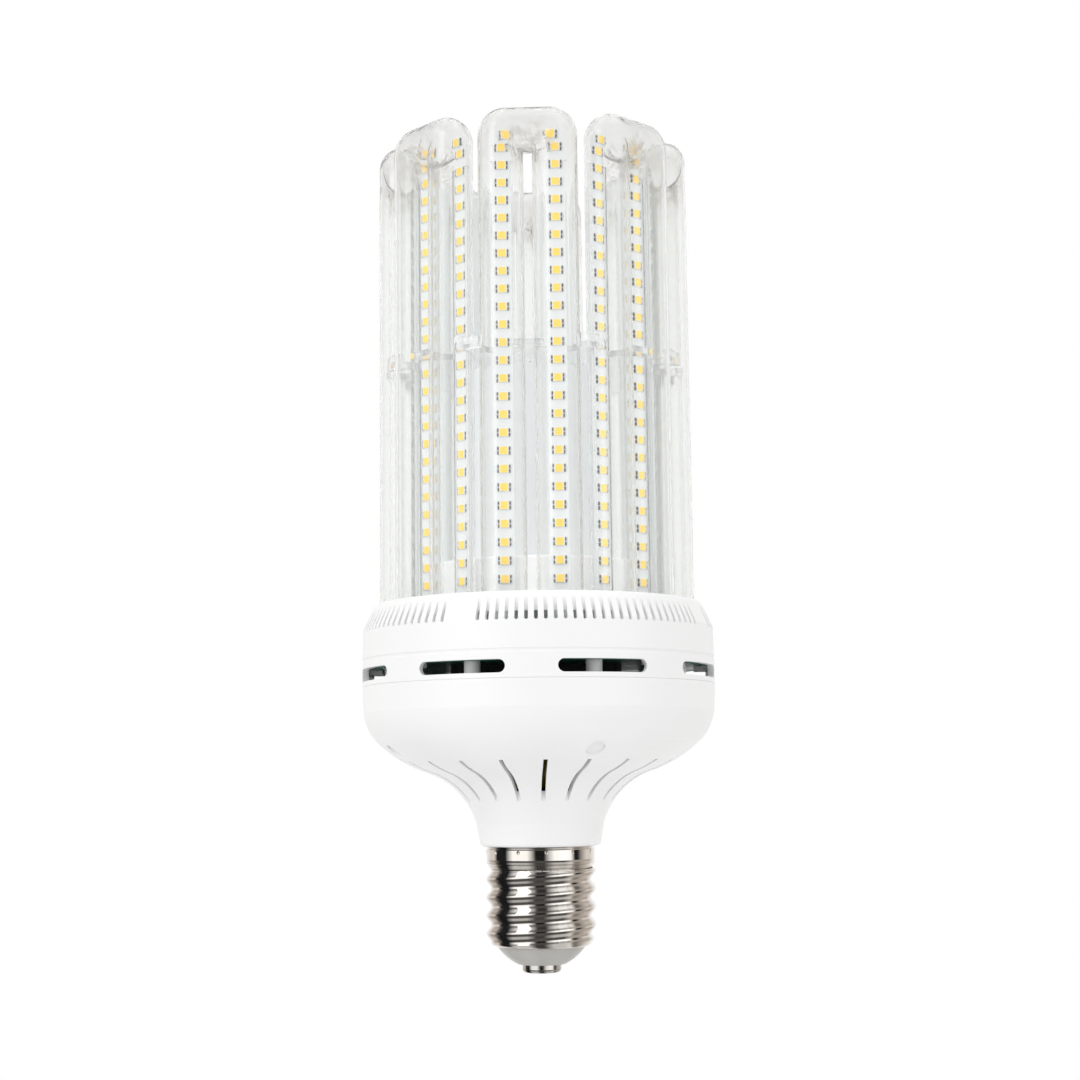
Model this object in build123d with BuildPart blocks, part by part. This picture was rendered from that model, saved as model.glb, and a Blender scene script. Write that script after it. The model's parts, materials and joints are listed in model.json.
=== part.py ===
from build123d import *
from math import ceil, cos, radians, sin
import os

os.makedirs("parts", exist_ok=True)

# Driving dimensions, in millimetres and degrees. The lamp's axis is Z, Z is 0 under the tip contact,
# and the front of the lamp faces -Y.
front = -90

# Screw cap
contact_r = 7.0
contact_height = 3.0
rivet_r = 2.2
shell_bottom = 9.3
shell_wall = 0.7
thread_pitch = 6.35
thread_crest_r = 19.65
thread_root_r = 17.95
thread_top = 36.6
band_r = 19.4
band_bottom = 38.4
cap_top = 44.6

# Housing
wall = 2.2
housing_r = 63.7
bowl_top = 101.5
ring_top = 111.3
cover_top = 131.0
plate_thickness = 2.4
shoulder_z = 123.2
hub_r = 40.7
hub_top = 145.0
post_count = 8
post_r = 2.8
post_ring_r = 53.8
post_foot = 84.6

# Tubes
tube_count = 8
leg_spacing = 19.0
tube_r = 8.0
tube_wall = 0.9
tube_ring_r = 48.6
tube_foot = 118.0
tube_top = 301.8
bend_r = 2.0

# Light strips
strip_width = 6.8
strip_thickness = 0.8
strip_back_r = 43.05
strip_top = 296.3
led_rows = 26
led_pitch = 6.37
led_top_z = 289.2
led_length = 3.5
led_height = 2.8
led_thickness = 0.7

# Middle of the tube ring
duct_r = 28.0
duct_wall = 1.2
disc_bottom = 215.6
disc_top = 217.8
disc_r = 55.5

# Boards
board_thickness = 1.6
ring_board_bottom = 107.9
ring_board_r = 59.0
driver_board_bottom = 80.8
driver_board_r = 48.8
driver_hole_ring_r = 45.0

# Fan
fan_size = 60.0
fan_depth = 20.0
fan_bore_r = 28.4
fan_hole_offset = 25.0

# Worked out from the driving dimensions
tube_turn = 360 / tube_count
post_angles = [front + tube_turn * (place + 0.5) for place in range(post_count)]
screw_angles = post_angles[0::2]
vent_gap_angles = post_angles[1::2]
ring_board_top = ring_board_bottom + board_thickness
driver_board_top = driver_board_bottom + board_thickness
fan_bottom = ring_board_bottom - fan_depth
leg_x = leg_spacing / 2


def polar(radius, angle):
    """The point at this radius and angle about the lamp's axis."""
    return (radius * cos(radians(angle)), radius * sin(radians(angle)))


def outward_plane(radius, angle, height):
    """A plane that faces away from the axis, with its x along the rim and its y up."""
    x, y = polar(radius, angle)
    out_x, out_y = polar(1, angle)
    return Plane(origin=(x, y, height), x_dir=(-out_y, out_x, 0), z_dir=(out_x, out_y, 0))


def leg_centres():
    """The centres of all sixteen tube legs, seen from above."""
    centres = []
    for number in range(tube_count):
        turn = radians(number * tube_turn)
        for x in (-leg_x, leg_x):
            y = -tube_ring_r
            centres.append((x * cos(turn) - y * sin(turn), x * sin(turn) + y * cos(turn)))
    return centres


# Tip contact: a button with a rounded edge and a hollow rivet that holds it to the insulator
rivet_top = 12.0
rivet_bore_r = 1.0
contact_edge_r = 1.3
with BuildPart() as centre_contact:
    with BuildSketch():
        Circle(contact_r)
    extrude(amount=contact_height)
    fillet(centre_contact.edges().sort_by(Axis.Z)[0], contact_edge_r)
    with BuildSketch(Plane.XY.offset(contact_height)):
        Circle(rivet_r)
    extrude(amount=rivet_top - contact_height)
    with Locations((0, 0, rivet_top)):
        Hole(rivet_bore_r, depth=rivet_top - contact_height)
centre_contact.part.label = "centre_contact"
export_step(centre_contact.part, "parts/centre_contact.step")

# Insulator: a moulded bowl, necked where the lip of the shell is caught in it
insulator_foot_r = 8.6
insulator_belly = (12.9, 5.95)
insulator_rim_r = 15.8
lip_r = 15.3
insulator_top = 12.0
with BuildPart() as cap_insulator:
    with BuildSketch(Plane.XZ):
        with BuildLine():
            Line((rivet_r, contact_height), (insulator_foot_r, contact_height))
            ThreePointArc((insulator_foot_r, contact_height), insulator_belly,
                          (insulator_rim_r, shell_bottom))
            Polyline(
                (insulator_rim_r, shell_bottom),
                (lip_r, shell_bottom),
                (lip_r, shell_bottom + shell_wall),
                (insulator_rim_r - 0.2, shell_bottom + shell_wall),
                (insulator_rim_r + 0.8, shell_bottom + 2),
                (insulator_rim_r + 0.8, insulator_top),
                (rivet_r, insulator_top),
                (rivet_r, contact_height),
            )
        make_face()
    revolve(axis=Axis.Z)
cap_insulator.part.label = "cap_insulator"
export_step(cap_insulator.part, "parts/cap_insulator.step")

# Screw shell. Every level section of a rounded single-start thread is nearly a circle whose centre
# circles the axis once a pitch, so the thread is a loft through such circles.
thread_mean_r = (thread_crest_r + thread_root_r) / 2
thread_offset = (thread_crest_r - thread_root_r) / 2
thread_crest_z = 32.7
sections_per_turn = 8


def thread_core(radius):
    """The solid inside a threaded surface of this mean radius, from the shell's foot up."""
    length = thread_top - shell_bottom
    count = ceil(sections_per_turn * length / thread_pitch)
    sections = []
    for place in range(count + 1):
        height = shell_bottom + length * place / count
        centre = polar(thread_offset, 180 + 360 * (height - thread_crest_z) / thread_pitch)
        sections.append(Wire.make_circle(radius, Plane(origin=(*centre, height))))
    return Solid.make_loft(sections)


def shell_outline(inset):
    """Half of the shell's outline, drawn closer to the axis and higher by the inset."""
    foot = shell_bottom + inset
    foot_r = 16.4 - inset
    turn_r = 18.4 - inset
    limit_r = 20.2 - inset
    Line((0, foot), (foot_r, foot))
    ThreePointArc((foot_r, foot), (17.8 - inset, shell_bottom + 0.7 + inset), (turn_r, shell_bottom + 2.1 + inset))
    Polyline((turn_r, shell_bottom + 2.1 + inset), (limit_r, 13.4), (limit_r, thread_top), (0, thread_top), (0, foot))


with BuildPart() as shell_cavity:
    with BuildSketch(Plane.XZ):
        with BuildLine():
            shell_outline(shell_wall)
        make_face()
    revolve(axis=Axis.Z)
    add(thread_core(thread_mean_r - shell_wall), mode=Mode.INTERSECT)
    with BuildSketch(Plane.XY.offset(shell_bottom)):
        Circle(lip_r)
    extrude(amount=shell_wall)
    with BuildSketch(Plane.XZ):
        Polygon(
            (0, thread_top - 0.4),
            (thread_root_r - shell_wall, thread_top - 0.4),
            (band_r - shell_wall, band_bottom - 0.4),
            (band_r - shell_wall, cap_top),
            (0, cap_top),
            align=None,
        )
    revolve(axis=Axis.Z)

peen_count = 12
peen_z = 42.7
peen_r = 0.9
peen_depth = 0.35
with BuildPart() as screw_shell:
    with BuildSketch(Plane.XZ):
        with BuildLine():
            shell_outline(0)
        make_face()
    revolve(axis=Axis.Z)
    add(thread_core(thread_mean_r), mode=Mode.INTERSECT)
    with BuildSketch(Plane.XZ):
        Polygon(
            (0, thread_top - 0.4),
            (thread_root_r, thread_top - 0.4),
            (band_r, band_bottom),
            (band_r, cap_top),
            (0, cap_top),
            align=None,
        )
    revolve(axis=Axis.Z)
    add(shell_cavity.part, mode=Mode.SUBTRACT)
    with Locations((0, 0, peen_z)):
        with PolarLocations(band_r + peen_r - peen_depth, peen_count, start_angle=front + 8):
            Sphere(peen_r, mode=Mode.SUBTRACT)
screw_shell.part.label = "screw_shell"
export_step(screw_shell.part, "parts/screw_shell.step")

# Lower housing: a bowl that runs into a waisted neck, one wall thick, with a spigot in the shell's band
spigot_r = band_r - shell_wall - 0.05
spigot_wall = 2.0
spigot_bottom = 39.0
neck_foot_r = 21.5
neck_foot_corner = 1.5
neck_top = (22.8, 52.4)
waist_mid = (28.2, 62.6)
waist_end = (41.0, 71.1)
bowl_mid = (49.9, 75.3)
bowl_turn = (57.6, 81.1)
bowl_rim = (63.3, 92.4)


def bowl_outline():
    """Half of the housing's outer outline, from the spigot to the rim."""
    Polyline((spigot_r - spigot_wall, cap_top), (neck_foot_r, cap_top), neck_top)
    ThreePointArc(neck_top, waist_mid, waist_end)
    shoulder = ThreePointArc(waist_end, bowl_mid, bowl_turn)
    TangentArc(bowl_turn, bowl_rim, tangent=shoulder % 1)
    Polyline(bowl_rim, (housing_r, bowl_top - 1), (housing_r, bowl_top))


with BuildPart() as bowl_form:
    with BuildSketch(Plane.XZ):
        with BuildLine():
            bowl_outline()
            Polyline((housing_r, bowl_top), (0, bowl_top), (0, cap_top), (spigot_r - spigot_wall, cap_top))
        make_face()
    revolve(axis=Axis.Z)

boss_r = 4.5
board_boss_r = 3.0
board_boss_foot = 74.6
driver_hole_angles = [front + tube_turn + 90 * place for place in range(4)]
with BuildPart() as bowl_bosses:
    with BuildSketch(Plane.XY.offset(cap_top)):
        with PolarLocations(post_ring_r, post_count, start_angle=post_angles[0]):
            Circle(boss_r)
    extrude(amount=post_foot - cap_top)
    with BuildSketch(Plane.XY.offset(board_boss_foot)):
        with PolarLocations(driver_hole_ring_r, 4, start_angle=driver_hole_angles[0]):
            Circle(board_boss_r)
    extrude(amount=driver_board_bottom - board_boss_foot)
    add(bowl_form.part, mode=Mode.INTERSECT)

neck_slot_count = 20
neck_slot_width = 1.5
neck_slot_inner_r = 26.6
neck_slot_outer_r = 49.0
recess_r = 3.3
recess_top = 83.0
screw_hole_r = 1.65
pilot_r = 1.45
with BuildPart() as lower_housing:
    with BuildSketch(Plane.XZ):
        with BuildLine():
            bowl_outline()
            offset(amount=wall, side=Side.LEFT)
        make_face()
    revolve(axis=Axis.Z)
    foot_edges = lower_housing.edges().filter_by(GeomType.CIRCLE).group_by(Axis.Z)[0]
    fillet(foot_edges.sort_by(SortBy.RADIUS)[-1], neck_foot_corner)
    add(bowl_bosses.part)
    with BuildSketch(Plane.XY.offset(spigot_bottom)):
        Circle(spigot_r)
        Circle(spigot_r - spigot_wall, mode=Mode.SUBTRACT)
    extrude(amount=cap_top + wall - spigot_bottom)
    slot_mid_r = (neck_slot_inner_r + neck_slot_outer_r) / 2
    with BuildSketch(Plane.XY.offset(cap_top + wall)):
        with PolarLocations(slot_mid_r, neck_slot_count, start_angle=screw_angles[0]):
            Rectangle(neck_slot_outer_r - neck_slot_inner_r, neck_slot_width)
    extrude(amount=post_foot - cap_top, mode=Mode.SUBTRACT)
    with BuildSketch(Plane.XY.offset(cap_top)):
        with PolarLocations(post_ring_r, len(screw_angles), start_angle=screw_angles[0]):
            Circle(recess_r)
    extrude(amount=recess_top - cap_top, mode=Mode.SUBTRACT)
    with BuildSketch(Plane.XY.offset(recess_top)):
        with PolarLocations(post_ring_r, len(screw_angles), start_angle=screw_angles[0]):
            Circle(screw_hole_r)
    extrude(amount=post_foot - recess_top, mode=Mode.SUBTRACT)
    with BuildSketch(Plane.XY.offset(driver_board_bottom)):
        with PolarLocations(driver_hole_ring_r, 4, start_angle=driver_hole_angles[0]):
            Circle(pilot_r)
    extrude(amount=-4.5, mode=Mode.SUBTRACT)
lower_housing.part.label = "lower_housing"
export_step(lower_housing.part, "parts/lower_housing.step")

# Vent ring: long rounded slots in line with the posts, and lugs between them that carry the ring board
slot_length = 32.0
slot_height = 4.5
slot_z = 105.65
seam = 0.35
tongue_r = 61.4
tongue_wall = 2.0
tongue_depth = 1.8
lug_reach = 4.6
lug_width = 9.0
lug_depth = 1.6
with BuildPart() as vent_ring:
    with BuildSketch(Plane.XZ):
        Polygon(
            (tongue_r - tongue_wall, bowl_top - tongue_depth),
            (tongue_r, bowl_top - tongue_depth),
            (tongue_r, bowl_top),
            (housing_r - seam, bowl_top),
            (housing_r, bowl_top + seam),
            (housing_r, ring_top - 3 * seam),
            (housing_r - seam, ring_top - 2 * seam),
            (housing_r - seam, ring_top),
            (tongue_r, ring_top),
            (tongue_r, bowl_top + 2),
            (tongue_r - tongue_wall, bowl_top),
            align=None,
        )
    revolve(axis=Axis.Z)
    with BuildSketch(Plane.XY.offset(ring_board_bottom)):
        with PolarLocations(housing_r - wall - lug_reach / 2, tube_count, start_angle=front):
            Rectangle(lug_reach + 1, lug_width)
    extrude(amount=-lug_depth)
    with BuildSketch(*[outward_plane(post_ring_r, angle, slot_z) for angle in post_angles]):
        SlotOverall(slot_length, slot_height)
    extrude(amount=housing_r - post_ring_r + 2, mode=Mode.SUBTRACT)
vent_ring.part.label = "vent_ring"
export_step(vent_ring.part, "parts/vent_ring.step")

# Upper cover: one moulding with a shoulder, a plate for the tubes and long screw posts
vent_pitch = 3.0
vents_in_group = 27
vent_width = 1.3
vent_inner_r = 60.4
vent_foot = 121.0
vent_corner = 0.35
plate_bottom = cover_top - plate_thickness
plate_inner_r = hub_r - 2
vent_angles = [
    gap + vent_pitch * (place + 2)
    for gap in vent_gap_angles
    for place in range(vents_in_group)
]
with BuildPart() as upper_cover:
    with BuildSketch(Plane.XZ):
        Polygon(
            (tongue_r - tongue_wall, ring_board_top),
            (tongue_r - 0.05, ring_board_top),
            (tongue_r - 0.05, ring_top),
            (housing_r - seam, ring_top),
            (housing_r, ring_top + seam),
            (housing_r - 0.3, shoulder_z - 1.2),
            (housing_r - 0.8, shoulder_z),
            (59.7, 130.1),
            (58.7, cover_top),
            (plate_inner_r, cover_top),
            (plate_inner_r, plate_bottom),
            (57.4, plate_bottom),
            (58.6, 127.6),
            (61.0, 122.9),
            (61.2, 121.5),
            (61.3, ring_top + 2),
            (tongue_r - tongue_wall, ring_top),
            align=None,
        )
    revolve(axis=Axis.Z)
    with BuildSketch(Plane.XY.offset(plate_bottom - 0.2)):
        with Locations(*leg_centres()):
            Circle(tube_r)
    extrude(amount=plate_thickness + 0.4, mode=Mode.SUBTRACT)
    with BuildSketch(Plane.XY.offset(post_foot)):
        with PolarLocations(post_ring_r, post_count, start_angle=post_angles[0]):
            Circle(post_r)
            Circle(pilot_r, mode=Mode.SUBTRACT)
    extrude(amount=plate_bottom - post_foot)
    with BuildSketch(*[outward_plane(vent_inner_r, angle, vent_foot) for angle in vent_angles]):
        Polygon(
            (-vent_width / 2, vent_corner),
            (-vent_width / 2 + vent_corner, 0),
            (vent_width / 2 - vent_corner, 0),
            (vent_width / 2, vent_corner),
            (vent_width / 2, cover_top - vent_foot),
            (-vent_width / 2, cover_top - vent_foot),
            align=None,
        )
    extrude(amount=housing_r - vent_inner_r + 1, mode=Mode.SUBTRACT)
upper_cover.part.label = "upper_cover"
export_step(upper_cover.part, "parts/upper_cover.step")

# Hub ring: stands on the cover's plate inside the ring of tubes, with a spigot in its hole, and closes
# round the air duct
hub_wall = 2.0
spigot_inner_r = plate_inner_r - 1.4
with BuildPart() as hub_ring:
    with BuildSketch(Plane.XZ):
        Polygon(
            (spigot_inner_r, plate_bottom),
            (plate_inner_r, plate_bottom),
            (plate_inner_r, cover_top),
            (hub_r, cover_top),
            (hub_r, hub_top - 0.7),
            (hub_r - 0.7, hub_top),
            (duct_r, hub_top),
            (duct_r, hub_top - hub_wall),
            (plate_inner_r, hub_top - hub_wall),
            (plate_inner_r, cover_top + 1.2),
            (spigot_inner_r, cover_top + 1.2),
            align=None,
        )
    revolve(axis=Axis.Z)
hub_ring.part.label = "hub_ring"
export_step(hub_ring.part, "parts/hub_ring.step")

# Housing screws: pan heads in the recesses of the bowl, shanks up in the posts
screw_head_r = 2.75
screw_head_height = 2.0
screw_r = 1.4
screw_reach = 14.0
with BuildPart() as housing_screws:
    with BuildSketch(Plane.XY.offset(recess_top)):
        with PolarLocations(post_ring_r, len(screw_angles), start_angle=screw_angles[0]):
            Circle(screw_head_r)
    extrude(amount=-screw_head_height)
    with BuildSketch(Plane.XY.offset(recess_top)):
        with PolarLocations(post_ring_r, len(screw_angles), start_angle=screw_angles[0]):
            Circle(screw_r)
    extrude(amount=screw_reach)
housing_screws.part.label = "housing_screws"
export_step(housing_screws.part, "parts/housing_screws.step")

# Screw plugs: they fill the recesses over the screw heads and stop just short of the bowl's surface
plug_r = 3.25
plug_inset = 1.1
with BuildPart() as screw_plugs:
    with BuildSketch(Plane.XY.offset(cap_top)):
        with PolarLocations(post_ring_r, len(screw_angles), start_angle=screw_angles[0]):
            Circle(plug_r)
    extrude(amount=recess_top - screw_head_height - cap_top)
    add(bowl_form.part.moved(Location((0, 0, plug_inset))), mode=Mode.INTERSECT)
screw_plugs.part.label = "screw_plugs"
export_step(screw_plugs.part, "parts/screw_plugs.step")

# U tubes. The legs are an extruded section with rails that hold a strip by its edges. The bend is two
# tight corners and a level bridge, round in section like the legs.
bridge_z = tube_top - tube_r
corner_x = leg_x - bend_r
corner_z = bridge_z - bend_r
rail_top = 284.0
rail_inner_x = strip_width / 2 + 0.05
rail_outer_x = rail_inner_x + 0.7
rail_lip_x = rail_inner_x - 0.5
rail_foot_y = -tube_ring_r + 6.35
rail_end_y = -strip_back_r - strip_thickness - 0.65
lip_y = -strip_back_r - strip_thickness - 0.1


def tube_form(radius, foot):
    """The U as a solid bar of this radius, cut level at its foot."""
    with BuildPart() as bar:
        with BuildSketch(Plane.XY.offset(foot)):
            with Locations((-leg_x, -tube_ring_r), (leg_x, -tube_ring_r)):
                Circle(radius)
        extrude(amount=corner_z - foot)
        with BuildSketch(Plane.YZ.offset(-corner_x)):
            with Locations((-tube_ring_r, bridge_z)):
                Circle(radius)
        extrude(amount=2 * corner_x)
        for side in (-1, 1):
            edge_x = side * (corner_x + radius + bend_r)
            with BuildSketch(Plane.XY.offset(corner_z)):
                with Locations((side * leg_x, -tube_ring_r)):
                    Circle(radius)
                with Locations(((side * corner_x + edge_x) / 2, -tube_ring_r)):
                    Rectangle(radius + bend_r, 2 * radius, mode=Mode.INTERSECT)
            hinge = Axis((side * corner_x, -tube_ring_r, corner_z), (0, -side, 0))
            revolve(axis=hinge, revolution_arc=90)
    return bar.part


tube_cavity = tube_form(tube_r - tube_wall, tube_foot - 1)
tube_bar = tube_form(tube_r, tube_foot)

with BuildPart() as front_tube:
    add(tube_bar)
    add(tube_cavity, mode=Mode.SUBTRACT)
    with BuildSketch(Plane.XY.offset(tube_foot)):
        for centre_x in (-leg_x, leg_x):
            for side in (-1, 1):
                Polygon(
                    (centre_x + side * rail_inner_x, rail_foot_y),
                    (centre_x + side * rail_outer_x, rail_foot_y),
                    (centre_x + side * rail_outer_x, rail_end_y),
                    (centre_x + side * rail_lip_x, rail_end_y),
                    (centre_x + side * rail_lip_x, lip_y),
                    (centre_x + side * rail_inner_x, lip_y),
                    align=None,
                )
    extrude(amount=rail_top - tube_foot)

for number in range(tube_count):
    with BuildPart() as u_tube:
        add(front_tube.part, rotation=(0, 0, number * tube_turn))
    u_tube.part.label = f"u_tube_{number + 1}"
    export_step(u_tube.part, f"parts/u_tube_{number + 1}.step")

# Light strips: two in each tube, with the outer top corner cut off, standing on the ring board
strip_corner = 2.2
with BuildPart() as front_strips:
    with BuildSketch(Plane.XZ.offset(strip_back_r)):
        for side in (-1, 1):
            inner_x = side * (leg_x - strip_width / 2)
            outer_x = side * (leg_x + strip_width / 2)
            Polygon(
                (inner_x, ring_board_top),
                (outer_x, ring_board_top),
                (outer_x, strip_top - strip_corner),
                (outer_x - side * strip_corner, strip_top),
                (inner_x, strip_top),
                align=None,
            )
    extrude(amount=strip_thickness)

for number in range(tube_count):
    with BuildPart() as led_strips:
        add(front_strips.part, rotation=(0, 0, number * tube_turn))
    led_strips.part.label = f"led_strips_{number + 1}"
    export_step(led_strips.part, f"parts/led_strips_{number + 1}.step")

# LED packages: an even column on each strip, and one more at the top that sits closer to the bridge
top_led_rise = 4.6
top_led_shift = 1.6
led_places = [
    (side * leg_x, led_top_z - row * led_pitch)
    for side in (-1, 1)
    for row in range(led_rows)
]
led_places += [(side * (leg_x - top_led_shift), led_top_z + top_led_rise) for side in (-1, 1)]
with BuildPart() as front_leds:
    with BuildSketch(Plane.XZ.offset(strip_back_r + strip_thickness)):
        with Locations(*led_places):
            Rectangle(led_length, led_height)
    extrude(amount=led_thickness)

for number in range(tube_count):
    with BuildPart() as leds:
        add(front_leds.part, rotation=(0, 0, number * tube_turn))
    leds.part.label = f"leds_{number + 1}"
    export_step(leds.part, f"parts/leds_{number + 1}.step")

# Support disc: a clear plate notched round the tube legs, with hooks between neighbouring tubes
hook_height = 2.4
hook_length = 3.0
hook_width = 11.0
with BuildPart() as support_disc:
    with BuildSketch(Plane.XY.offset(disc_bottom)):
        Circle(disc_r)
        Circle(duct_r, mode=Mode.SUBTRACT)
        with Locations(*leg_centres()):
            Circle(tube_r, mode=Mode.SUBTRACT)
    extrude(amount=disc_top - disc_bottom)
    with BuildSketch(Plane.XY.offset(disc_top)):
        with PolarLocations(disc_r - hook_length / 2 - 0.3, tube_count, start_angle=post_angles[0]):
            Rectangle(hook_length, hook_width)
        with Locations(*leg_centres()):
            Circle(tube_r, mode=Mode.SUBTRACT)
    extrude(amount=hook_height)
support_disc.part.label = "support_disc"
export_step(support_disc.part, "parts/support_disc.step")

# Air duct: from the top of the fan, through the hub, to the top of the support disc
with BuildPart() as air_duct:
    with BuildSketch(Plane.XY.offset(ring_board_bottom)):
        Circle(duct_r)
        Circle(duct_r - duct_wall, mode=Mode.SUBTRACT)
    extrude(amount=disc_top - ring_board_bottom)
air_duct.part.label = "air_duct"
export_step(air_duct.part, "parts/air_duct.step")

# Ring board: every strip is soldered to it, and it carries the fan
fan_hole_r = 2.15
post_clearance = 0.15
with BuildPart() as ring_board:
    with BuildSketch(Plane.XY.offset(ring_board_bottom)):
        Circle(ring_board_r)
        Circle(duct_r, mode=Mode.SUBTRACT)
        with PolarLocations(post_ring_r, post_count, start_angle=post_angles[0]):
            Circle(post_r + post_clearance, mode=Mode.SUBTRACT)
        with GridLocations(2 * fan_hole_offset, 2 * fan_hole_offset, 2, 2):
            Circle(fan_hole_r, mode=Mode.SUBTRACT)
    extrude(amount=board_thickness)
ring_board.part.label = "ring_board"
export_step(ring_board.part, "parts/ring_board.step")

# Fan frame: a square moulding with a round bore, a spider and a bearing tube
fan_corner_r = 4.0
spider_depth = 2.3
spider_hub_r = 13.5
strut_count = 4
strut_width = 3.0
bearing_r = 3.0
bearing_tube_r = 4.2
bearing_top = 101.3
spider_top = fan_bottom + spider_depth
with BuildPart() as fan_frame:
    with BuildSketch(Plane.XY.offset(fan_bottom)):
        RectangleRounded(fan_size, fan_size, fan_corner_r)
        Circle(fan_bore_r, mode=Mode.SUBTRACT)
    extrude(amount=fan_depth)
    with BuildSketch(Plane.XY.offset(fan_bottom)):
        Circle(spider_hub_r)
        with PolarLocations((spider_hub_r + fan_bore_r) / 2, strut_count, start_angle=20):
            Rectangle(fan_bore_r - spider_hub_r + 2, strut_width)
    extrude(amount=spider_depth)
    with BuildSketch(Plane.XY.offset(spider_top)):
        Circle(bearing_tube_r)
        Circle(bearing_r, mode=Mode.SUBTRACT)
    extrude(amount=bearing_top - spider_top)
    with BuildSketch(Plane.XY.offset(fan_bottom)):
        with GridLocations(2 * fan_hole_offset, 2 * fan_hole_offset, 2, 2):
            Circle(fan_hole_r)
    extrude(amount=fan_depth, mode=Mode.SUBTRACT)
fan_frame.part.label = "fan_frame"
export_step(fan_frame.part, "parts/fan_frame.step")

# Fan bearing: a plain sleeve in the bearing tube
shaft_r = 1.5
running_gap = 0.05
with BuildPart() as fan_bearing:
    with BuildSketch(Plane.XY.offset(spider_top)):
        Circle(bearing_r)
        Circle(shaft_r + running_gap, mode=Mode.SUBTRACT)
    extrude(amount=bearing_top - spider_top)
fan_bearing.part.label = "fan_bearing"
export_step(fan_bearing.part, "parts/fan_bearing.step")

# Fan stator: a core of four poles on the bearing tube
stator_r = 11.6
stator_bottom = 93.2
stator_depth = 7.6
pole_gap = 3.0
with BuildPart() as fan_stator:
    with BuildSketch(Plane.XY.offset(stator_bottom)):
        Circle(stator_r)
        with PolarLocations(stator_r - 2, 4, start_angle=45):
            Rectangle(5, pole_gap, mode=Mode.SUBTRACT)
        with PolarLocations(stator_r - 4.6, 4, start_angle=45):
            Circle(2, mode=Mode.SUBTRACT)
        Circle(bearing_tube_r, mode=Mode.SUBTRACT)
    extrude(amount=stator_depth)
fan_stator.part.label = "fan_stator"
export_step(fan_stator.part, "parts/fan_stator.step")

# Fan rotor: a cup with pitched blades that twist from root to tip
rotor_hub_r = 15.5
rotor_wall = 1.3
rotor_bottom = 92.2
rotor_top = 106.4
rotor_boss_r = 3.2
rotor_boss_bottom = 102.2
blade_count = 7
blade_root_r = 14.4
blade_tip_r = 26.9
blade_root_chord = 13.0
blade_tip_chord = 14.0
blade_root_pitch = 46
blade_tip_pitch = 32
blade_thickness = 1.2
blade_z = 99.0
with BuildPart() as fan_rotor:
    for number in range(blade_count):
        angle = number * 360 / blade_count
        with BuildSketch(outward_plane(blade_root_r, angle, blade_z)):
            Rectangle(blade_root_chord, blade_thickness, rotation=blade_root_pitch)
        with BuildSketch(outward_plane(blade_tip_r, angle, blade_z)):
            Rectangle(blade_tip_chord, blade_thickness, rotation=blade_tip_pitch)
        loft()
    with BuildSketch(Plane.XY.offset(rotor_bottom)):
        Circle(rotor_hub_r)
    extrude(amount=rotor_top - rotor_bottom)
    with BuildSketch(Plane.XY.offset(rotor_bottom)):
        Circle(rotor_hub_r - rotor_wall)
    extrude(amount=rotor_top - rotor_wall - rotor_bottom, mode=Mode.SUBTRACT)
    with BuildSketch(Plane.XY.offset(rotor_boss_bottom)):
        Circle(rotor_boss_r)
    extrude(amount=rotor_top - rotor_boss_bottom)
    with BuildSketch(Plane.XY.offset(rotor_boss_bottom)):
        Circle(shaft_r)
    extrude(amount=rotor_top - rotor_wall - rotor_boss_bottom, mode=Mode.SUBTRACT)
fan_rotor.part.label = "fan_rotor"
export_step(fan_rotor.part, "parts/fan_rotor.step")

# Fan magnet: a ring inside the rotor cup
magnet_wall = 1.6
magnet_bottom = 93.0
magnet_top = 102.0
with BuildPart() as fan_magnet:
    with BuildSketch(Plane.XY.offset(magnet_bottom)):
        Circle(rotor_hub_r - rotor_wall)
        Circle(rotor_hub_r - rotor_wall - magnet_wall, mode=Mode.SUBTRACT)
    extrude(amount=magnet_top - magnet_bottom)
fan_magnet.part.label = "fan_magnet"
export_step(fan_magnet.part, "parts/fan_magnet.step")

# Fan shaft: pressed in the rotor's boss, running in the bearing
with BuildPart() as fan_shaft:
    with BuildSketch(Plane.XY.offset(spider_top + 0.4)):
        Circle(shaft_r)
    extrude(amount=rotor_top - rotor_wall - spider_top - 0.4)
fan_shaft.part.label = "fan_shaft"
export_step(fan_shaft.part, "parts/fan_shaft.step")

# Fan screws: heads on the ring board, shanks through the corners of the fan
fan_screw_r = 2.0
fan_head_r = 3.5
fan_head_height = 2.4
with BuildPart() as fan_screws:
    with BuildSketch(Plane.XY.offset(ring_board_top)):
        with GridLocations(2 * fan_hole_offset, 2 * fan_hole_offset, 2, 2):
            Circle(fan_head_r)
    extrude(amount=fan_head_height)
    with BuildSketch(Plane.XY.offset(ring_board_top)):
        with GridLocations(2 * fan_hole_offset, 2 * fan_hole_offset, 2, 2):
            Circle(fan_screw_r)
    extrude(amount=-board_thickness - fan_depth - 4)
fan_screws.part.label = "fan_screws"
export_step(fan_screws.part, "parts/fan_screws.step")

# Fan nuts: under the corners of the fan
nut_across = 7.0
nut_height = 3.2
with BuildPart() as fan_nuts:
    with BuildSketch(Plane.XY.offset(fan_bottom)):
        with GridLocations(2 * fan_hole_offset, 2 * fan_hole_offset, 2, 2):
            RegularPolygon(nut_across / 2, 6, major_radius=False)
            Circle(fan_screw_r, mode=Mode.SUBTRACT)
    extrude(amount=-nut_height)
fan_nuts.part.label = "fan_nuts"
export_step(fan_nuts.part, "parts/fan_nuts.step")

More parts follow.
